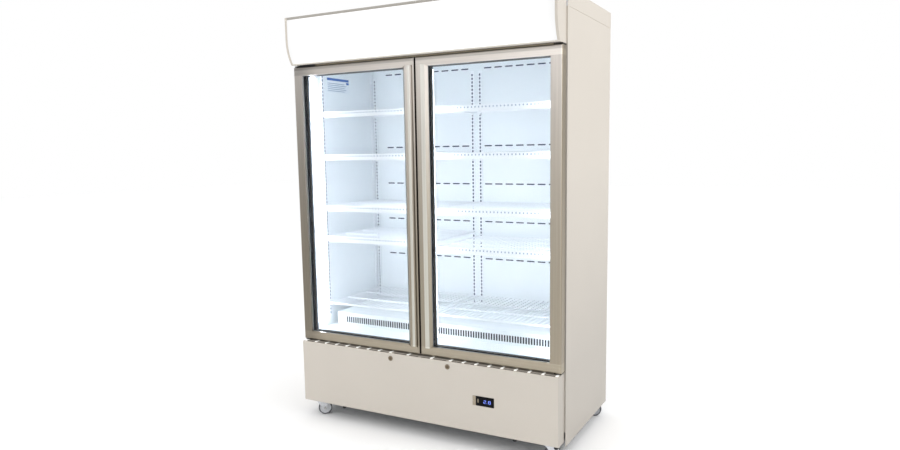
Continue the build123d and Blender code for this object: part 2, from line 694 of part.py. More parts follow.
hub_radius = wheel_radius - 6
half_wheel = wheel_width / 2
with BuildPart() as wheel_shape:
    rod(hub_radius, (caster_trail, -half_wheel + 1.5, wheel_radius),
        (caster_trail, half_wheel - 1.5, wheel_radius))
    rod(10, (caster_trail, -half_wheel - 1, wheel_radius), (caster_trail, half_wheel + 1, wheel_radius))
    rod(axle_radius + running_clearance, (caster_trail, -wheel_width, wheel_radius),
        (caster_trail, wheel_width, wheel_radius), mode=Mode.SUBTRACT)
with BuildPart() as tyre_shape:
    rod(wheel_radius, (caster_trail, -half_wheel, wheel_radius), (caster_trail, half_wheel, wheel_radius))
    fillet(tyre_shape.edges(), 3)
    rod(hub_radius + 0.05, (caster_trail, -wheel_width, wheel_radius),
        (caster_trail, wheel_width, wheel_radius), mode=Mode.SUBTRACT)

for name, (x, y, heading) in casters.items():
    place = Location((x, y, 0), (0, 0, heading))
    with BuildPart() as fork:
        with Locations(place):
            add(fork_shape.part)
    save(fork, f"caster_fork_{name}")
    with BuildPart() as wheel:
        with Locations(place):
            add(wheel_shape.part)
            add(tyre_shape.part)
    save(wheel, f"caster_wheel_{name}")
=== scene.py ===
"""The looks of a two-door glass merchandiser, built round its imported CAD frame.

Metres, unless a comment says millimetres. +X is the user's right, -Y is the front, +Z is up.
"""
import json
import math

import bmesh
import bpy
from mathutils import Matrix, Vector


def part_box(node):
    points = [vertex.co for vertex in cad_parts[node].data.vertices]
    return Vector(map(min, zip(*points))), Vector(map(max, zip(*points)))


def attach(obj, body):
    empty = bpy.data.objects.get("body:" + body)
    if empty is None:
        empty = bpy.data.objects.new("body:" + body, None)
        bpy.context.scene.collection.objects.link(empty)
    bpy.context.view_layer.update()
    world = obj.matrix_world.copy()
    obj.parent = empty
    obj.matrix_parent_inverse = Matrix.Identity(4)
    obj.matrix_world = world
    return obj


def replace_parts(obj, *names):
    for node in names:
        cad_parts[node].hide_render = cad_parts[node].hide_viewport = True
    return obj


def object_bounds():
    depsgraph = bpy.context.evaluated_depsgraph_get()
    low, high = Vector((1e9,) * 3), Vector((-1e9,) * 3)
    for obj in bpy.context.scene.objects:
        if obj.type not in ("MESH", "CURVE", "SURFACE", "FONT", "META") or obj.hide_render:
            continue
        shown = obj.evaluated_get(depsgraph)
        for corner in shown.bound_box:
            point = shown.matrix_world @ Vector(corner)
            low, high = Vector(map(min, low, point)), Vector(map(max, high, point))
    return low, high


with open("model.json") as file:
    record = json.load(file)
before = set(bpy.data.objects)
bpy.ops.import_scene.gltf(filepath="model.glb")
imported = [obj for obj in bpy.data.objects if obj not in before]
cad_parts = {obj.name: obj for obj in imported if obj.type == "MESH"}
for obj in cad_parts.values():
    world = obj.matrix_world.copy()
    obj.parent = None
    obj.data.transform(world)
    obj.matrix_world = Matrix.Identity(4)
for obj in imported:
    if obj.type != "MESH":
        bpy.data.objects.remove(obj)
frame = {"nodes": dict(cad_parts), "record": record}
cad_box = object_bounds()
nodes = frame["nodes"]

# ---- camera -------------------------------------------------------------------------------
CAMERA_AT = Vector((1.4730, -2.7510, 1.2129))
YAW, PITCH, ROLL = 0.4925, 0.1266, -0.0154
LENS_MM, SENSOR_MM, SHIFT_Y = 27.917, 36.0, 0.0164

forward = Vector((-math.sin(YAW) * math.cos(PITCH), math.cos(YAW) * math.cos(PITCH), -math.sin(PITCH)))
level = Vector((math.cos(YAW), math.sin(YAW), 0))
upright = level.cross(forward)
right = math.cos(ROLL) * level + math.sin(ROLL) * upright
up = -math.sin(ROLL) * level + math.cos(ROLL) * upright
camera_data = bpy.data.cameras.new("camera")
camera_data.lens, camera_data.sensor_width, camera_data.shift_y = LENS_MM, SENSOR_MM, SHIFT_Y
camera = bpy.data.objects.new("camera", camera_data)
bpy.context.scene.collection.objects.link(camera)
camera.matrix_world = Matrix.Translation(CAMERA_AT) @ Matrix((right, up, -forward)).transposed().to_4x4()
bpy.context.scene.camera = camera
bpy.context.scene.view_settings.view_transform = "Standard"


# ---- material helpers ---------------------------------------------------------------------
def srgb(red, green, blue):
    """A display colour, 0 to 255 a channel, as the linear colour that shaders take."""
    def channel(value):
        value /= 255
        return value / 12.92 if value <= 0.04045 else ((value + 0.055) / 1.055) ** 2.4
    return channel(red), channel(green), channel(blue), 1.0


def scaled(colour, factor):
    return tuple(min(1.0, c * factor) for c in colour[:3]) + (1.0,)


class Recipe:
    """A node material being put together, with the shortcuts that the finishes below share."""

    def __init__(self, name):
        self.material = bpy.data.materials.new(name)
        self.material.use_nodes = True
        self.tree = self.material.node_tree
        self.tree.nodes.clear()
        self.output = self.add("ShaderNodeOutputMaterial")
        self.place = self.add("ShaderNodeTexCoord").outputs["Object"]

    def add(self, kind, **settings):
        node = self.tree.nodes.new(kind)
        for key, value in settings.items():
            setattr(node, key, value)
        return node

    def join(self, source, target):
        self.tree.links.new(source, target)

    def stretched(self, stretch):
        mapping = self.add("ShaderNodeMapping")
        mapping.inputs["Scale"].default_value = stretch
        self.join(self.place, mapping.inputs["Vector"])
        return mapping.outputs["Vector"]

    def noise(self, scale, detail=2.0, stretch=(1, 1, 1)):
        node = self.add("ShaderNodeTexNoise")
        node.inputs["Scale"].default_value = scale
        node.inputs["Detail"].default_value = detail
        self.join(self.stretched(stretch), node.inputs["Vector"])
        return node.outputs["Fac"]

    def ranged(self, value, low, high, from_low=0.3, from_high=0.7):
        """The value moved from one range to another; the default range is what a noise mostly spans."""
        node = self.add("ShaderNodeMapRange")
        self.join(value, node.inputs["Value"])
        ends = {"From Min": from_low, "From Max": from_high, "To Min": low, "To Max": high}
        for key, number in ends.items():
            node.inputs[key].default_value = number
        return node.outputs["Result"]

    def math(self, operation, first, second):
        node = self.add("ShaderNodeMath", operation=operation)
        for socket, value in zip(node.inputs, (first, second)):
            if isinstance(value, (int, float)):
                socket.default_value = value
            else:
                self.join(value, socket)
        return node.outputs[0]

    def blend(self, factor, first, second):
        node = self.add("ShaderNodeMix", data_type="RGBA")
        for socket, value in ((node.inputs[0], factor), (node.inputs[6], first), (node.inputs[7], second)):
            if isinstance(value, (tuple, float)):
                socket.default_value = value
            else:
                self.join(value, socket)
        return node.outputs[2]

    def shaded(self, colour, factor):
        """The colour times a grey factor."""
        grey = self.add("ShaderNodeCombineColor")
        for socket in grey.inputs:
            self.join(factor, socket)
        node = self.add("ShaderNodeMix", data_type="RGBA", blend_type="MULTIPLY")
        node.inputs[0].default_value = 1.0
        self.join(colour, node.inputs[6])
        self.join(grey.outputs[0], node.inputs[7])
        return node.outputs[2]

    def axis(self, letter):
        split = self.add("ShaderNodeSeparateXYZ")
        self.join(self.place, split.inputs[0])
        return split.outputs[letter]

    def shader(self, **sockets):
        node = self.add("ShaderNodeBsdfPrincipled")
        for key, value in sockets.items():
            node.inputs[key.replace("_", " ").title().replace("Ior", "IOR")].default_value = value
        self.join(node.outputs[0], self.output.inputs["Surface"])
        return node

    def bump(self, shader, height, depth):
        node = self.add("ShaderNodeBump")
        node.inputs["Distance"].default_value = depth
        self.join(height, node.inputs["Height"])
        self.join(node.outputs["Normal"], shader.inputs["Normal"])


def solid_finish(name, colour, rough, tone, tone_scale, spread, grain, depth, sockets):
    """Paint, plastic or metal: faint cloudy tone, uneven gloss and a fine surface grain."""
    recipe = Recipe(name)
    shader = recipe.shader(**sockets)
    cloud = recipe.ranged(recipe.noise(tone_scale, 3), 0, 1)
    tint = recipe.blend(cloud, scaled(colour, 1 - tone), scaled(colour, 1 + tone))
    recipe.join(tint, shader.inputs["Base Color"])
    fine = recipe.noise(grain, 2)
    recipe.join(recipe.ranged(fine, rough - spread, rough + spread), shader.inputs["Roughness"])
    recipe.bump(shader, fine, depth)
    return recipe.material


def lit_finish(name, colour, strength, base=1.0, ends=None, beads=None):
    """A glowing lens, or a painted glow on a part that is no lamp.

    ends = (axis, centre, half length, width) dims it towards its ends, and beads is the diodes' pitch.
    """
    recipe = Recipe(name)
    shader = recipe.shader(roughness=0.35, emission_color=colour)
    cloud = recipe.ranged(recipe.noise(8, 2), 0, 1)
    tint = recipe.blend(cloud, scaled(colour, 0.9 * base), scaled(colour, base))
    recipe.join(tint, shader.inputs["Base Color"])
    value = strength
    if ends:
        letter, centre, half, width = ends
        away = recipe.math("ABSOLUTE", recipe.math("SUBTRACT", recipe.axis(letter), centre), 0)
        value = recipe.ranged(away, strength, strength * 0.78, half - width, half)
    if beads:
        turns = recipe.math("MULTIPLY", recipe.axis("Z"), 2 * math.pi / beads)
        wave = recipe.math("SINE", turns, 0)
        value = recipe.ranged(wave, strength * 0.75, strength * 1.25, -1, 1)
    if isinstance(value, float):
        value = recipe.ranged(recipe.noise(10, 1), strength * 0.98, strength * 1.02)
    recipe.join(value, shader.inputs["Emission Strength"])
    return recipe.material


MIRROR_HEAD_ON, MIRROR_GLANCING = 0.013, 0.8      # share of the light that a pane's face mirrors


def glass_finish(name, tint):
    """A clear pane: it lets light straight through and mirrors a little, most at a glancing angle."""
    recipe = Recipe(name)
    clear = recipe.add("ShaderNodeBsdfTransparent")
    clear.inputs["Color"].default_value = tint
    mirror = recipe.add("ShaderNodeBsdfGlossy")
    mirror.inputs["Color"].default_value = (1, 1, 1, 1)
    smear = recipe.ranged(recipe.noise(3, 3), 0.01, 0.05)
    recipe.join(smear, mirror.inputs["Roughness"])
    facing = recipe.add("ShaderNodeLayerWeight")
    facing.inputs["Blend"].default_value = 0.5
    glancing = recipe.math("POWER", facing.outputs["Facing"], 5)
    mix = recipe.add("ShaderNodeMixShader")
    recipe.join(recipe.ranged(glancing, MIRROR_HEAD_ON, MIRROR_GLANCING, 0, 1), mix.inputs[0])
    recipe.join(clear.outputs[0], mix.inputs[1])
    recipe.join(mirror.outputs[0], mix.inputs[2])
    recipe.join(mix.outputs[0], recipe.output.inputs["Surface"])
    return recipe.material


# Heights and half widths that the door and cabinet finishes turn at.
GLASS_BITE = 0.010        # how far the glass runs into the frame
RAIL_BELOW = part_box("door_glass_left")[0].z + GLASS_BITE - 0.0005
RAIL_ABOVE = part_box("door_glass_left")[1].z - GLASS_BITE + 0.0005
# Above this height the door frames are painted darker, as painted shade.
TOP_SHADE_BAND = RAIL_ABOVE + 0.020
# Past DOOR_EDGE the door frames take a painted-shade colour; past SIDE_FACE the cabinet sides get painted
# shade.
DOOR_EDGE, SIDE_FACE = 0.6195, 0.6183


def anodised_finish(name, low, high, shaded_edge_colour):
    """Brushed champagne aluminium, drawn lengthwise, with painted light: paler towards the top and right of a
    pair of doors.

    The doors' outward edges take a painted-shade edge colour, and the rails have their own shade: painted
    shade on the top rail and in the band above it, and a painted highlight that makes the bottom rail paler.
    """
    recipe = Recipe(name)
    shader = recipe.shader(metallic=0.6)
    height, across = recipe.axis("Z"), recipe.axis("X")
    # Painted light: the colour runs from the darker low colour at the bottom to the paler high colour at the
    # top.
    painted_light_climb = recipe.math("POWER", recipe.ranged(height, 0, 1, 0.42, 1.57), 2.6)
    # Painted shade: the doors' outward side faces, past DOOR_EDGE, take the shaded edge colour.
    is_shaded_edge = recipe.math("GREATER_THAN", recipe.math("ABSOLUTE", across, 0), DOOR_EDGE)
    tone = recipe.blend(is_shaded_edge, recipe.blend(painted_light_climb, low, high), shaded_edge_colour)

    is_top_rail = recipe.math("GREATER_THAN", height, RAIL_ABOVE)
    is_rail = recipe.math("ADD", is_top_rail, recipe.math("LESS_THAN", height, RAIL_BELOW))
    streak = recipe.add("ShaderNodeMix", data_type="FLOAT")
    recipe.join(is_rail, streak.inputs[0])
    recipe.join(recipe.noise(160, 3, (1, 1, 0.012)), streak.inputs[2])
    recipe.join(recipe.noise(160, 3, (0.012, 1, 1)), streak.inputs[3])
    streaks = streak.outputs[0]

    # Painted light and shade on the top rail: darker over the left door, paler over the right.
    top_rail = recipe.math("MULTIPLY", recipe.ranged(height, 0.0, 1.0, RAIL_ABOVE, RAIL_ABOVE + 0.001),
                           recipe.ranged(across, -0.24, 0.22, -0.58, 0.58))
    # The brushed streaks, times a painted light that grows towards the right.
    shade = recipe.math("MULTIPLY", recipe.ranged(streaks, 0.92, 1.08),
                        recipe.ranged(across, 0.94, 1.1, -0.6, 0.6))
    # Further painted shade on the left door's outer stile, on the top rail and above TOP_SHADE_BAND, and a
    # painted highlight that makes the bottom rail paler.
    for factor in (recipe.ranged(across, 0.67, 1.0, -0.58, -0.5),
                   recipe.math("ADD", 1.0, top_rail),
                   recipe.ranged(height, 1.0, 0.7, TOP_SHADE_BAND, TOP_SHADE_BAND + 0.005),
                   recipe.ranged(height, 1.2, 1.0, RAIL_BELOW - 0.001, RAIL_BELOW + 0.001)):
        shade = recipe.math("MULTIPLY", shade, factor)
    recipe.join(recipe.shaded(tone, shade), shader.inputs["Base Color"])
    recipe.join(recipe.ranged(streaks, 0.32, 0.46), shader.inputs["Roughness"])
    recipe.bump(shader, streaks, 1e-5)
    return recipe.material


def cabinet_finish(name, colour):
    """Powder coat; painted shade makes the outward side faces darker towards the floor."""
    recipe = Recipe(name)
    shader = recipe.shader()
    cloud = recipe.ranged(recipe.noise(3, 3), 0, 1)
    tone = recipe.blend(cloud, scaled(colour, 0.988), scaled(colour, 1.012))
    # Painted shade on the outward side faces, deepest near the floor.
    is_side = recipe.math("GREATER_THAN", recipe.math("ABSOLUTE", recipe.axis("X"), 0), SIDE_FACE)
    loss = recipe.math("MULTIPLY", is_side, recipe.ranged(recipe.axis("Z"), 0.24, 0.0, 0.35, 1.15))
    shade = recipe.math("SUBTRACT", 1.0, loss)
    recipe.join(recipe.shaded(tone, shade), shader.inputs["Base Color"])
    fine = recipe.noise(650, 2)
    recipe.join(recipe.ranged(fine, 0.38, 0.46), shader.inputs["Roughness"])
    recipe.bump(shader, fine, 3e-5)
    return recipe.material


# Painted, moulded and metal finishes: display colour, roughness, strength and scale of the cloudy tone,
# spread of the gloss, scale and depth of the grain, and any other sockets of the shader.
SOLIDS = {
    "header_paint": ((213, 208, 201), 0.4, 0.012, 3, 0.04, 650, 3e-5, {}),
    "rear_sheet": ((176, 178, 178), 0.38, 0.025, 30, 0.06, 260, 2e-5, {"metallic": 0.9}),
    "foam": ((222, 196, 140), 0.9, 0.08, 30, 0.05, 300, 4e-4, {}),
    "liner_paint": ((232, 237, 241), 0.36, 0.01, 4, 0.05, 420, 4e-5, {}),
    "surround_plastic": ((230, 234, 240), 0.4, 0.01, 4, 0.04, 500, 2e-5, {}),
    "shelf_coating": ((238, 241, 246), 0.34, 0.015, 20, 0.05, 500, 3e-5, {}),
    "fin_aluminium": ((186, 190, 194), 0.32, 0.06, 40, 0.1, 600, 2e-5, {"metallic": 1.0}),
    "black_plastic": ((22, 22, 24), 0.32, 0.1, 30, 0.06, 900, 2e-5, {}),
    "key_plastic": ((170, 158, 138), 0.4, 0.03, 60, 0.05, 900, 1e-5, {}),
    "chassis_steel": ((158, 160, 162), 0.42, 0.08, 18, 0.1, 200, 3e-5, {"metallic": 0.9}),
    "lock_chrome": ((140, 128, 112), 0.28, 0.04, 60, 0.06, 600, 1e-5, {"metallic": 1.0}),
    "lock_brass": ((112, 100, 84), 0.3, 0.05, 60, 0.06, 600, 1e-5, {"metallic": 1.0}),
    "compressor_enamel": ((20, 20, 22), 0.3, 0.1, 12, 0.08, 300, 5e-5, {}),
    "black_steel": ((30, 30, 32), 0.45, 0.1, 16, 0.08, 400, 3e-5, {}),
    "fan_plastic": ((34, 35, 38), 0.4, 0.08, 20, 0.06, 700, 2e-5, {}),
    "bracket_steel": ((52, 48, 44), 0.38, 0.08, 30, 0.08, 400, 2e-5, {"metallic": 0.6}),
    "caster_steel": ((196, 198, 202), 0.26, 0.05, 50, 0.1, 500, 2e-5, {"metallic": 1.0}),
    "wheel_rubber": ((96, 98, 102), 0.5, 0.04, 40, 0.06, 700, 3e-5, {}),
    "spacer_black": ((5, 8, 16), 0.6, 0.1, 40, 0.06, 700, 1e-5, {"specular_ior_level": 0.15}),
    "gasket_rubber": ((40, 42, 46), 0.55, 0.08, 40, 0.06, 600, 3e-5, {}),
    # Finishes of the added pieces and the floor.
    "slot_shadow": ((36, 48, 78), 0.8, 0.1, 40, 0.05, 300, 1e-5, {}),
    "grille_shadow": ((26, 34, 48), 0.8, 0.1, 40, 0.05, 300, 1e-5, {}),
    "hole_shadow": ((58, 74, 100), 0.8, 0.1, 40, 0.05, 300, 1e-5, {}),
    # Painted highlight for the glazing bead.
    "bead_painted_highlight": ((150, 156, 160), 0.4, 0.03, 40, 0.05, 700, 1e-5, {}),
    "screen_gloss": ((4, 5, 9), 0.3, 0.1, 40, 0.04, 300, 1e-6, {"specular_ior_level": 0.12}),
    "label_white": ((226, 232, 238), 0.5, 0.02, 60, 0.05, 500, 1e-5, {}),
    "label_blue": ((44, 96, 168), 0.5, 0.05, 60, 0.05, 500, 1e-5, {}),
    "label_grey": ((120, 140, 166), 0.5, 0.05, 60, 0.05, 500, 1e-5, {}),
    "zinc_steel": ((178, 178, 176), 0.3, 0.05, 90, 0.08, 500, 1e-5, {"metallic": 1.0}),
    "dark_steel": ((34, 34, 36), 0.4, 0.08, 60, 0.08, 500, 1e-5, {"metallic": 0.5}),
    "tyre_grey": ((84, 86, 92), 0.55, 0.05, 60, 0.06, 600, 4e-5, {}),
    "hub_white": ((214, 216, 220), 0.35, 0.03, 60, 0.05, 600, 1e-5, {}),
    # The sensor window's own beige, and painted shade of the gap under the header.
    "trim_and_gap_shade_beige": ((124, 116, 98), 0.5, 0.03, 30, 0.05, 600, 1e-5, {}),
    "edge_grey": ((168, 163, 156), 0.5, 0.02, 30, 0.05, 600, 1e-5, {}),
    # Painted shade of the shelf rails' holes.
    "hole_shade_blue": ((150, 166, 188), 0.5, 0.03, 30, 0.05, 600, 1e-5, {}),
    # Painted shade of the surround behind the doors.
    "lip_shade_grey": ((112, 122, 130), 0.45, 0.02, 30, 0.05, 600, 1e-5, {}),
    "seal_brown": ((26, 18, 14), 0.7, 0.1, 30, 0.05, 600, 1e-5, {"specular_ior_level": 0.2}),
    "edge_light": ((214, 210, 200), 0.5, 0.02, 30, 0.05, 600, 1e-5, {}),
    # Painted shade under the panel's air slots.
    "vent_pan_shade": ((58, 50, 42), 0.6, 0.05, 30, 0.05, 600, 1e-5, {}),
    "floor_paint": ((250, 250, 250), 0.9, 0.004, 1, 0.03, 40, 1e-5, {}),
}
finishes = {name: solid_finish(name, srgb(*colour), *numbers) for name, (colour, *numbers) in SOLIDS.items()}
finishes["cabinet_paint"] = cabinet_finish("cabinet_paint", srgb(200, 193, 183))
# The door metal goes from a painted-shade low colour to a painted-light high colour, with a painted-shade
# colour for the outward edges.
finishes["door_aluminium"] = anodised_finish("door_aluminium", srgb(150, 141, 125), srgb(224, 217, 210),
                                             srgb(140, 131, 115))
# A paler copy of the door metal: a painted highlight on the grip ridge and moulding.
finishes["grip_painted_highlight"] = anodised_finish("grip_painted_highlight", srgb(196, 194, 184), srgb(236, 233, 226),
                                          srgb(196, 194, 184))
finishes["door_glass"] = glass_finish("door_glass", (0.99, 0.996, 0.995, 1))
WHITE = (1.0, 1.0, 1.0, 1.0)
SIGN_HALF, DIODE_PITCH = 0.609, 0.02
finishes["led_lens"] = lit_finish("led_lens", srgb(246, 249, 255), 14.5, beads=DIODE_PITCH)
finishes["sign_acrylic"] = lit_finish("sign_acrylic", WHITE, 0.85, base=0.25,
                                      ends=("X", 0.0, SIGN_HALF, 0.09))
finishes["digit_glow"] = lit_finish("digit_glow", srgb(112, 136, 240), 0.9)
# A painted glow for the panel's slot webs, which are painted sheet and no lamp.
finishes["web_painted_glow"] = lit_finish("web_painted_glow", srgb(250, 250, 246), 0.35)
for subpart in frame["record"]["subparts"]:
    mesh = nodes[subpart["node"]].data
    mesh.materials.clear()
    mesh.materials.append(finishes[subpart["material_slot"]])


# ---- added pieces -------------------------------------------------------------------------
MM = 0.001


class Piece:
    """A mesh put together from boxes and turned shapes, in millimetres from its origin."""

    def __init__(self, origin=(0, 0, 0)):
        self.mesh = bmesh.new()
        self.origin = Vector(origin)

    def box(self, x, y, z, bevel=0.0):
        low, high = Vector((x[0], y[0], z[0])), Vector((x[1], y[1], z[1]))
        made = bmesh.ops.create_cube(self.mesh, size=1)["verts"]
        for corner in made:
            corner.co = (low + high) / 2 + Vector([a * b for a, b in zip(corner.co, high - low)])
        if bevel:
            edges = list({edge for corner in made for edge in corner.link_edges})
            bmesh.ops.bevel(self.mesh, geom=edges, offset=bevel, segments=2, affect="EDGES")
        return self

    def turned(self, at, axis, profile, sides=32):
        """profile: (radius, distance along the axis) pairs, from one end of the axis to the other."""
        along = Vector(axis).normalized()
        across = along.orthogonal().normalized()
        other = along.cross(across)
        rings = []
        for radius, distance in profile:
            centre = Vector(at) + along * distance
            if radius == 0:
                rings.append([self.mesh.verts.new(centre)])
                continue
            angles = [2 * math.pi * i / sides for i in range(sides)]
            rings.append([self.mesh.verts.new(centre + radius * (across * math.cos(a) + other * math.sin(a)))
                          for a in angles])
        for first, second in zip(rings, rings[1:]):
            for i in range(sides):
                j = (i + 1) % sides
                around_face = (first[i % len(first)], first[j % len(first)], second[j % len(second)],
                               second[i % len(second)])
                self.mesh.faces.new(list(dict.fromkeys(around_face)))
        return self

    def screw(self, at, axis, radius):
        """A domed head with a round socket, standing on a surface."""
        profile = [(0, radius * 0.25), (radius * 0.36, radius * 0.25), (radius * 0.4, radius * 0.62),
                   (radius * 0.75, radius * 0.5), (radius, radius * 0.15), (radius, -0.5), (0, -0.5)]
        return self.turned(at, axis, profile, 20)

    def ring(self, x, z, width, y, bevel=0.0):
        """Four bars round an opening; width is outwards from it."""
        self.box((x[0] - width, x[0]), y, (z[0] - width, z[1] + width), bevel)
        self.box((x[1], x[1] + width), y, (z[0] - width, z[1] + width), bevel)
        self.box(x, y, (z[0] - width, z[0]), bevel)
        return self.box(x, y, (z[1], z[1] + width), bevel)

    def prism(self, outline, z):
        """An upright bar with this outline in plan."""
        ends = [[self.mesh.verts.new((x, y, level)) for x, y in outline] for level in z]
        for end in ends:
            self.mesh.faces.new(end)
        for i in range(len(outline)):
            j = (i + 1) % len(outline)
            self.mesh.faces.new((ends[0][i], ends[0][j], ends[1][j], ends[1][i]))
        return self

    def done(self, name, finish, body="cabinet"):
        bmesh.ops.recalc_face_normals(self.mesh, faces=self.mesh.faces)
        bmesh.ops.translate(self.mesh, vec=self.origin, verts=self.mesh.verts)
        bmesh.ops.scale(self.mesh, vec=(MM,) * 3, verts=self.mesh.verts)
        data = bpy.data.meshes.new(name)
        self.mesh.to_mesh(data)
        self.mesh.free()
        data.materials.append(finishes[finish])
        thing = bpy.data.objects.new(name, data)
        bpy.context.scene.collection.objects.link(thing)
        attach(thing, body)
        return thing


def smooth(thing):
    thing.data.shade_smooth()
    edge_split = thing.modifiers.new("crisp edges", "EDGE_SPLIT")
    edge_split.split_angle = math.radians(35)
    return thing


def span(side, near, far):
    """Limits in x of something on one side of the middle, -1 for the left and 1 for the right."""
    return tuple(sorted((side * near, side * far)))


def around(middle, half):
    return middle - half, middle + half


def inset(limits, by):
    return limits[0] + by, limits[1] - by


def corners(node):
    """A node's lowest and highest corners, in millimetres."""
    return [Vector([round(value / MM, 2) for value in corner]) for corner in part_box(node)]


# Places that several pieces share, in millimetres.
HALF_WIDTH, BACK, TOP = (round(value / MM) for value in cad_box[1])
door_low, door_high = corners("door_frame_left")
glass_low, glass_high = corners("door_glass_left")
panel_low, panel_high = corners("lower_front_panel")
header_low, header_high = corners("header_housing")
standards_low, standards_high = corners("shelf_standards")
DOOR_FACE, DOOR_BACK = door_low.y, door_high.y
OPENING_X = inset((-glass_high.x, -glass_low.x), GLASS_BITE / MM)
OPENING_Z = inset((glass_low.z, glass_high.z), GLASS_BITE / MM)
SIDES = (-1, 1)


def glazing_trims(word, side):
    """A black channel behind a door's panes, a grey lip behind that as painted shade of the surround, and a
    pale bead in front as a painted highlight on the frame's inner edge.
    """
    x, z, body = span(side, *OPENING_X), OPENING_Z, f"door_{word}"
    channel = Piece()
    channel.ring(inset(x, 1.6), inset(z, 1.6), 0.8, (glass_high.y + 0.2, DOOR_BACK - 0.4))
    channel.done(f"glazing_channel_{word}", "spacer_black", body)
    lip = Piece()
    # Painted shade: the grey lip stands for the cabinet surround in shade.
    lip.ring(inset(x, 1.6), inset(z, 1.6), 6.8, (DOOR_BACK + 0.2, DOOR_BACK + 8), 0.6)
    lip.done(f"glazing_shade_lip_{word}", "lip_shade_grey", body)
    # Painted highlight: the pale bead stands for light on the frame's inner edge.
    bead = Piece()
    bead.ring(inset(x, 0.9), inset(z, 0.9), 0.9, (glass_low.y - 2, glass_low.y - 0.1), 0.2)
    bead.done(f"glazing_highlight_bead_{word}", "bead_painted_highlight", body)


def handles():
    """A rounded ridge on the left grip, a broad moulding and a filled groove on the right, a seal between;
    the ridge and moulding take a paler copy of the door metal as a painted highlight.
    """
    grip_z = inset(OPENING_Z, -7)
    ridge = Piece(origin=(0, DOOR_FACE, 0))
    ridge.prism([(-36, 0.1), (-34, -1.6), (-31, -2.6), (-27, -2.6), (-24.5, -1.6), (-23, 0.1)], grip_z)
    ridge.done("handle_ridge_left", "grip_painted_highlight", "door_left")
    moulding = Piece(origin=(0, DOOR_FACE, 0))
    moulding.prism([(26, 0.1), (28, -2.2), (33, -2.4), (46.4, -0.1), (46.4, 0.1)], grip_z)
    moulding.done("handle_moulding_right", "grip_painted_highlight", "door_right")
    infill = Piece(origin=(0, DOOR_FACE, 0))
    infill.prism([(8.7, 8.7), (8.7, 0.4), (9.3, -0.1), (15.7, -0.1), (16.3, 0.4), (16.3, 8.7)],
                 (OPENING_Z[0] - 7.8, OPENING_Z[1] + 6.8))
    infill.done("grip_infill_right", "door_aluminium", "door_right")
    seal, seal_z = Piece(origin=(0, DOOR_FACE, 0)), inset((door_low.z, door_high.z), 3)
    seal.box((-2.9, -0.7), (2, 38), seal_z, 0.3).box((-2.9, 1.2), (26, 32), seal_z, 0.3)
    seal.done("meeting_seal", "seal_brown", "door_left")


def duct_slot_shade():
    """Dark strips that close the cold-air slots of the rear duct panel: painted shade for the dark duct
    behind.
    """
    rows, first_row, row_pitch, slots_x = 6, 692, 180.9, (34, 518)
    backing = Piece(origin=(0, corners("rear_duct_panel")[1].y, first_row))
    for row in range(rows):
        for side in SIDES:
            backing.box(span(side, *slots_x), (0.4, 2.8), around(row_pitch * row, 7), 0.8)
            backing.box(span(side, *slots_x), (2.8, 8.8), around(row_pitch * row, 3), 0.8)
    backing.done("duct_slot_shade", "slot_shadow")


def grille_shade_sheet():
    """Painted shade: a dark sheet behind the evaporator cover's grille, and a dark insert in each of its
    slots.
    """
    slots, pitch, middle = 84, 12.2, 423
    backing = Piece(origin=(0, corners("evaporator_cover")[0].y, middle))
    for side in SIDES:
        backing.box(span(side, 4, 530), (2.4, 5), (-18, 18), 0.8)
        backing.box(span(side, 4, 530), (5, 12), (-3, 3), 0.8)
    for count in range(slots):
        backing.box(around(pitch * (count - (slots - 1) / 2), 3.5), (-0.7, 0.4), (-14, 14), 0.15)
    backing.done("grille_shade_sheet", "grille_shadow")


def shelf_standard_details():
    """Dark backings of the standards' holes as painted shade, and two more standards in the rear corners."""
    pitch, front_rows = 17, 66
    holes = Piece(origin=(0, 0, standards_low.z))
    for count in range(front_rows):
        z = around(25.5 + pitch * count, 5.2)
        for side in SIDES:
            holes.box(span(side, 584.2, 583.6), around(-136, 3.2), z, 0.1)
            holes.box(span(side, 9.8, 16.2), (-187.2, -186.6), z, 0.1)
    for count in range(front_rows - 1):
        middle = 49 + pitch * count
        for side in SIDES:
            holes.box(span(side, 16.4, 23.6), (276.4, 277.2), around(middle, 5.2), 0.1)
            holes.box(span(side, 571.5, 578.5), (276.4, 277.2), around(middle, 3.4), 0.1)
    holes.done("standard_hole_shade", "hole_shadow")
    corner_standards, corner_z = Piece(), (460, standards_high.z)
    for side in SIDES:
        corner_standards.box(span(side, 566, standards_high.x - 0.2), (277, 279.9), corner_z, 0.5)
        corner_standards.box(span(side, 563, 568), (278.4, 279.9), corner_z, 0.3)
    corner_standards.done("corner_standards", "liner_paint")


# The lit bars of a digit 8 wide and 13.4 high, as limits in x and z.
SEGMENTS = {"top": ((1, 7), (12, 13.4)), "middle": ((1, 7), (6, 7.4)), "bottom": ((1, 7), (0, 1.4)),
            "left_low": ((0, 1.5), (1, 6.4)), "right_low": ((6.5, 8), (1, 6.4)),
            "left_high": ((0, 1.5), (7, 12.4)), "right_high": ((6.5, 8), (7, 12.4))}
DIGIT_STRETCH = 1.35


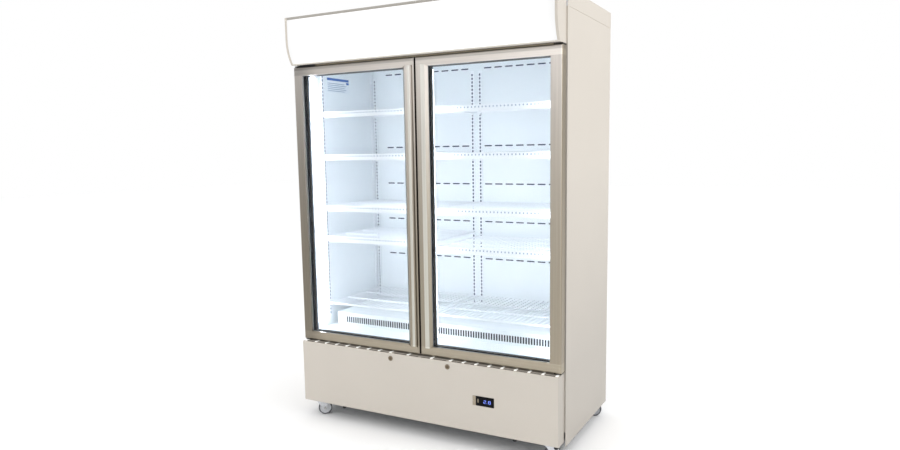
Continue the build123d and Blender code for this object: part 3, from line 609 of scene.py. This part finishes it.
def controller_face():
    """Beige key strip, glossy screen, a sensor window and generic digits, from its lower left corner."""
    origin = corners("controller")[0]
    strip, face_z = Piece(origin), (4.8, 44.2)
    strip.box((4.8, 7.5), (-0.5, 0.1), face_z, 0.2).box((16.5, 19), (-0.5, 0.1), face_z, 0.2)
    for z in ((4.8, 9.2), (21.9, 27.1), (39.9, 44.2)):
        strip.box((7.5, 16.5), (-0.5, 0.1), z, 0.2)
    strip.done("controller_key_strip", "key_plastic")
    screen = Piece(origin)
    screen.box((19.4, 99.2), (-0.9, 0.1), face_z, 0.35)
    screen.box((48, 96), (-1.2, -0.8), (14, 35.6), 0.15)
    screen.done("controller_screen", "screen_gloss")
    window = Piece(origin)
    for z in (30.5, 20.5):
        window.turned((29.5, -0.8, z), (0, -1, 0), [(0, 0.9), (2.6, 0.9), (3.2, 0.5), (3.4, 0), (0, 0)], 24)
    window.box((26.3, 32.7), (-1.6, -0.8), (20.5, 30.5), 0.3)
    window.done("controller_window", "trim_and_gap_shade_beige")
    digits, digit_y, digit_bottom = Piece(origin), (-1.5, -1.1), 18
    for left, dark in ((54, ("left_high", "right_low")), (75, ())):
        for name, (x, z) in SEGMENTS.items():
            if name not in dark:
                digits.box([left + DIGIT_STRETCH * value for value in x], digit_y,
                           [digit_bottom + value for value in z], 0.1)
    digits.box((68.6, 70.6), digit_y, (digit_bottom, digit_bottom + 2), 0.1)
    digits.done("controller_digits", "digit_glow")


def panel_top_edge():
    """Webs between the air slots in the lower panel's top edge, given a painted glow, and dark pans under the
    slots as painted shade.
    """
    pitch, first, second, third = 57.6, 28.8, 96, 177
    slots = [first, second] + [third + pitch * count for count in range(8)]
    webs = [pitch, 146, *(third + pitch * (count + 0.5) for count in range(7)), 608]
    origin = (0, panel_low.y, panel_high.z)
    painted_glow_webs, shade_pans = Piece(origin), Piece(origin)
    for side in SIDES:
        for middle in slots:
            half = 32 if middle == second else 23
            # Painted shade: dark pans where the slots lie in shadow.
            shade_pans.box(span(side, *around(middle, half + 1)), (4, 18), (-3.3, -1.7), 0.3)
            shade_pans.box(span(side, *around(middle, half - 3)), (6, 16), (-5, -3), 0.3)
        for x in webs:
            # Painted light: the webs glow a little, though they are painted sheet.
            painted_glow_webs.box(span(side, *around(x, 5.5)), (8, 20), (-0.4, 2.2), 0.6)
            painted_glow_webs.box(span(side, *around(x, 4)), (19.6, 35), (-0.4, 1.2), 0.5)
    painted_glow_webs.done("panel_webs_painted_glow", "web_painted_glow")
    shade_pans.done("vent_slot_shade", "vent_pan_shade")


def fixings():
    """Bolts under the lower panel and screws in the hinge brackets."""
    bolts, head = Piece(), [(0, -1), (6, -1), (6, 3), (9, 3.5), (9, 9), (7, 12), (0, 12)]
    for x in (-405, 432, 605):
        bolts.turned((x, panel_low.y + 15, panel_low.z - 0.1), (0, 0, -1), head, 20)
    bolts.done("panel_bolts", "dark_steel")
    brackets_low, brackets_high = corners("hinge_brackets")
    screws = Piece()
    for side in SIDES:
        for z, up in ((brackets_low.z, -1), (brackets_high.z, 1)):
            for y in (-250, -244):
                screws.screw((side * 600, y, z), (0, 0, up), 2.6)
    screws.done("hinge_screws", "zinc_steel")


def back_and_top():
    """Sheet-metal screws, pressed ribs, the service cover's border and a rating plate with plain bars."""
    screws = Piece()
    for side in SIDES:
        for step in range(9):
            screws.screw((side * (HALF_WIDTH - 13), BACK, 120 + 198 * step), (0, 1, 0), 4)
        for step in range(3):
            screws.screw((side * 540, BACK, 90 + 110 * step), (0, 1, 0), 3.5)
            screws.screw((side * 180 * (1 + step), BACK, 330), (0, 1, 0), 3.5)
        for y in (-200, -20, 160, 310):
            screws.screw((side * (HALF_WIDTH - 25), y, TOP), (0, 0, 1), 3.5)
    screws.done("sheet_screws", "zinc_steel")
    ribs, rib_z, border_y = Piece(origin=(0, BACK, 0)), (420, 1640), (-0.4, 0.9)
    for side in SIDES:
        ribs.box(span(side, 196, 214), (-0.4, 1.6), rib_z, 0.9)
        ribs.box(span(side, 404, 422), (-0.4, 1.6), rib_z, 0.9)
        ribs.box(span(side, 560, 568), border_y, (78, 346), 0.5)
    ribs.box((-560, 560), border_y, (338, 346), 0.5)
    ribs.done("rear_ribs", "rear_sheet")
    corner, width, height = (-560, BACK, 1560), 120, 80
    plate = Piece(corner)
    plate.box((0, width), (-0.2, 0.5), (0, height), 0.3)
    for x in inset((0, width), 3.5):
        for z in inset((0, height), 3.5):
            plate.screw((x, 0.4, z), (0, 1, 0), 1.8)
    plate.done("rating_plate", "label_white")
    lines = Piece(corner)
    for line in range(6):
        lines.box((8, 90 + 18 * (line % 2)), (0.4, 0.7), (8 + 11 * line, 11 + 11 * line), 0.1)
    lines.box(inset((0, width), 8), (0.4, 0.7), (height - 8, height - 4), 0.1)
    lines.done("rating_plate_lines", "label_grey")


WHEEL_RADIUS, WHEEL_WIDTH = 31.5, 20.0
HEADINGS = {"front_left": 39, "front_right": 45, "rear_left": 165, "rear_right": 8}     # degrees
# Radius and distance in from the wheel's side, from the bore outwards.
TYRE = [(WHEEL_RADIUS - 6.3, 1), (WHEEL_RADIUS - 5, 0.2), (WHEEL_RADIUS - 2.3, 0.6),
        (WHEEL_RADIUS - 0.7, 2.4), (WHEEL_RADIUS - 0.1, 5)]
HUB = [(0, -0.9), (6.5, -0.9), (7.5, -0.3), (8.5, 2.6), (20, 3.4), (22.5, 0.9), (WHEEL_RADIUS - 6.2, 0.7)]


def both_sides(profile):
    """A wheel's profile from one side to the other, from that of one side."""
    near = [(radius, depth - WHEEL_WIDTH / 2) for radius, depth in profile]
    return near + [(radius, -distance) for radius, distance in reversed(near)]


def caster(name, heading):
    """A dark tyre on a pale dished hub, with a capped axle, in place of the plain CAD wheel."""
    wheel = f"caster_wheel_{name}"
    corner_low, corner_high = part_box(wheel)
    centre = (corner_low + corner_high) / 2 / MM
    turn = math.radians(heading)
    axle = Vector((-math.sin(turn), math.cos(turn), 0))
    for part, finish, profile in (("tyre", "tyre_grey", TYRE), ("hub", "hub_white", HUB)):
        piece = Piece().turned(centre, axle, both_sides(profile), 56)
        smooth(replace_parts(piece.done(f"caster_{part}_{name}", finish, f"wheel_{name}"), wheel))
    caps = Piece()
    for way in SIDES:
        caps.turned(centre, way * axle, [(0, 19.6), (3.4, 19.6), (5.2, 18.4), (5.6, 14.6), (0, 14.6)], 24)
    smooth(caps.done(f"caster_axle_caps_{name}", "zinc_steel", f"caster_{name}"))


def wall_label():
    """A plain information label on the left inner wall: border, coloured heading and bars for lines."""
    corner, depth, height = (-standards_high.x, -100, 1494), 172, 68
    label, rim = Piece(corner), 1.4
    label.box((0.1, 0.7), (0, depth), (0, height), 0.1)
    for z in ((0, rim), (height - rim, height)):
        label.box((0.6, 0.9), (0, depth), z, 0.1)
    for y in ((0, rim), (depth - rim, depth)):
        label.box((0.6, 0.9), y, (0, height), 0.1)
    label.done("wall_label", "label_white")
    heading = Piece(corner)
    heading.box((0.7, 0.9), inset((0, depth), 2), (55, 66))
    heading.box((0.7, 0.9), (depth - 22, depth - 2), (42, 52))
    heading.done("wall_label_heading", "label_blue")
    lines = Piece(corner)
    for line in range(5):
        lines.box((0.7, 0.9), (8, 136 + 12 * (line % 2)), (6.5 + 8.5 * line, 9 + 8.5 * line))
    lines.done("wall_label_lines", "label_grey")


def header_edges():
    """Edging of the light box, and the closing strip in the gap under it, coloured as painted shade of the
    gap, with its dark end block.
    """
    length = inset((header_low.x, header_high.x), 0.2)
    edging = Piece(origin=(0, header_low.y, header_high.z))
    edging.box(length, (-0.2, 1.1), (-6.5, 0.1), 0.4)
    edging.box(length, (0.4, 1.8), (-10.5, -6.2), 0.4)
    edging.done("header_edging", "edge_grey")
    lower = Piece(origin=(0, header_low.y, header_low.z))
    lower.box(length, (29.4, 30.9), (0.2, 6), 0.4)
    for side in SIDES:
        lower.box(span(side, 600, length[1]), (29, 29.8), (-0.2, 6.4), 0.3)
    lower.done("header_lower_edging", "edge_light")
    above_doors = (0, DOOR_FACE, door_high.z)
    # Painted shade: the strip's dark beige stands for the shadowed gap under the light box.
    trim = Piece(above_doors)
    trim.box((-498, 588), (-2, 48), (1.4, 7), 0.8)
    trim.box((-498, 588), (43, 48.8), (-1, 7), 0.8)
    trim.done("header_gap_shade_trim", "trim_and_gap_shade_beige")
    block = Piece(above_doors)
    block.box((-586, -500), (-2, 48), (1.2, 7), 0.8)
    block.box((-560, -530), (-4, 0), (1.6, 6), 0.8)
    block.done("header_gap_block", "dark_steel")


def shelf_perforations(shelf):
    """Blue-grey marks for the row of holes along a shelf's ticket rail, painted as the shade in the holes."""
    corner_low, corner_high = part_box(shelf)
    middle, front, top = (corner_low.x + corner_high.x) / 2 / MM, corner_low.y / MM, corner_high.z / MM
    marks = Piece(origin=(middle, front, top))
    for count in range(-16, 17):
        marks.box(around(16.2 * count, 2.6), (3.3, 4), (-12.5, -6), 0.15)
    marks.done(f"perforations_{shelf}", "hole_shade_blue")


for word, side in (("left", -1), ("right", 1)):
    glazing_trims(word, side)
handles()
duct_slot_shade()
grille_shade_sheet()
shelf_standard_details()
controller_face()
panel_top_edge()
fixings()
back_and_top()
for name, heading in HEADINGS.items():
    caster(name, heading)
wall_label()
header_edges()
for subpart in frame["record"]["subparts"]:
    if subpart["node"].startswith("shelf_") and subpart["node"][-1].isdigit():
        shelf_perforations(subpart["node"])

# ---- stage --------------------------------------------------------------------------------
bpy.ops.mesh.primitive_plane_add(size=40)
floor = bpy.context.active_object
floor.name = "floor"
floor.data.materials.append(finishes["floor_paint"])

# The camera sees a white studio; the object is lit by a dimmer one.
SEEN_BRIGHTNESS, LIT_BRIGHTNESS = 1.0, 0.62
world = bpy.data.worlds.new("studio")
world.use_nodes = True
background = world.node_tree.nodes["Background"]
background.inputs["Color"].default_value = (1, 1, 1, 1)
seen = world.node_tree.nodes.new("ShaderNodeLightPath")
dimmer = world.node_tree.nodes.new("ShaderNodeMapRange")
dimmer.inputs["To Min"].default_value = LIT_BRIGHTNESS
dimmer.inputs["To Max"].default_value = SEEN_BRIGHTNESS
world.node_tree.links.new(seen.outputs["Is Camera Ray"], dimmer.inputs["Value"])
world.node_tree.links.new(dimmer.outputs["Result"], background.inputs["Strength"])
bpy.context.scene.world = world


def softbox(name, at, target, size, watts, diffuse=True, glossy=True):
    light = bpy.data.lights.new(name, "AREA")
    light.shape, light.size, light.size_y, light.energy = "RECTANGLE", size[0], size[1], watts
    thing = bpy.data.objects.new(name, light)
    bpy.context.scene.collection.objects.link(thing)
    thing.location = at
    thing.rotation_euler = (Vector(target) - Vector(at)).to_track_quat("-Z", "Y").to_euler()
    thing.visible_diffuse, thing.visible_glossy = diffuse, glossy


# A wide fill from the left, a glow on the right side panel, and a light for the metal's edges alone.
softbox("key_light", at=(-2.5, -3.5, 3.0), target=(0, 0, 0.8), size=(2.5, 2.5), watts=42, glossy=False)
softbox("side_light", at=(2.6, 0.1, 2.3), target=(0.625, 0, 1.35), size=(1.5, 1.5), watts=26)
softbox("bevel_light", at=(3.4, -2.0, 1.1), target=(0.3, -0.28, 1.1), size=(1.0, 2.4), watts=20,
        diffuse=False)
sun = bpy.data.objects.new("sky_light", bpy.data.lights.new("sky_light", "SUN"))
sun.data.energy, sun.data.angle = 1.4, math.radians(120)
bpy.context.scene.collection.objects.link(sun)
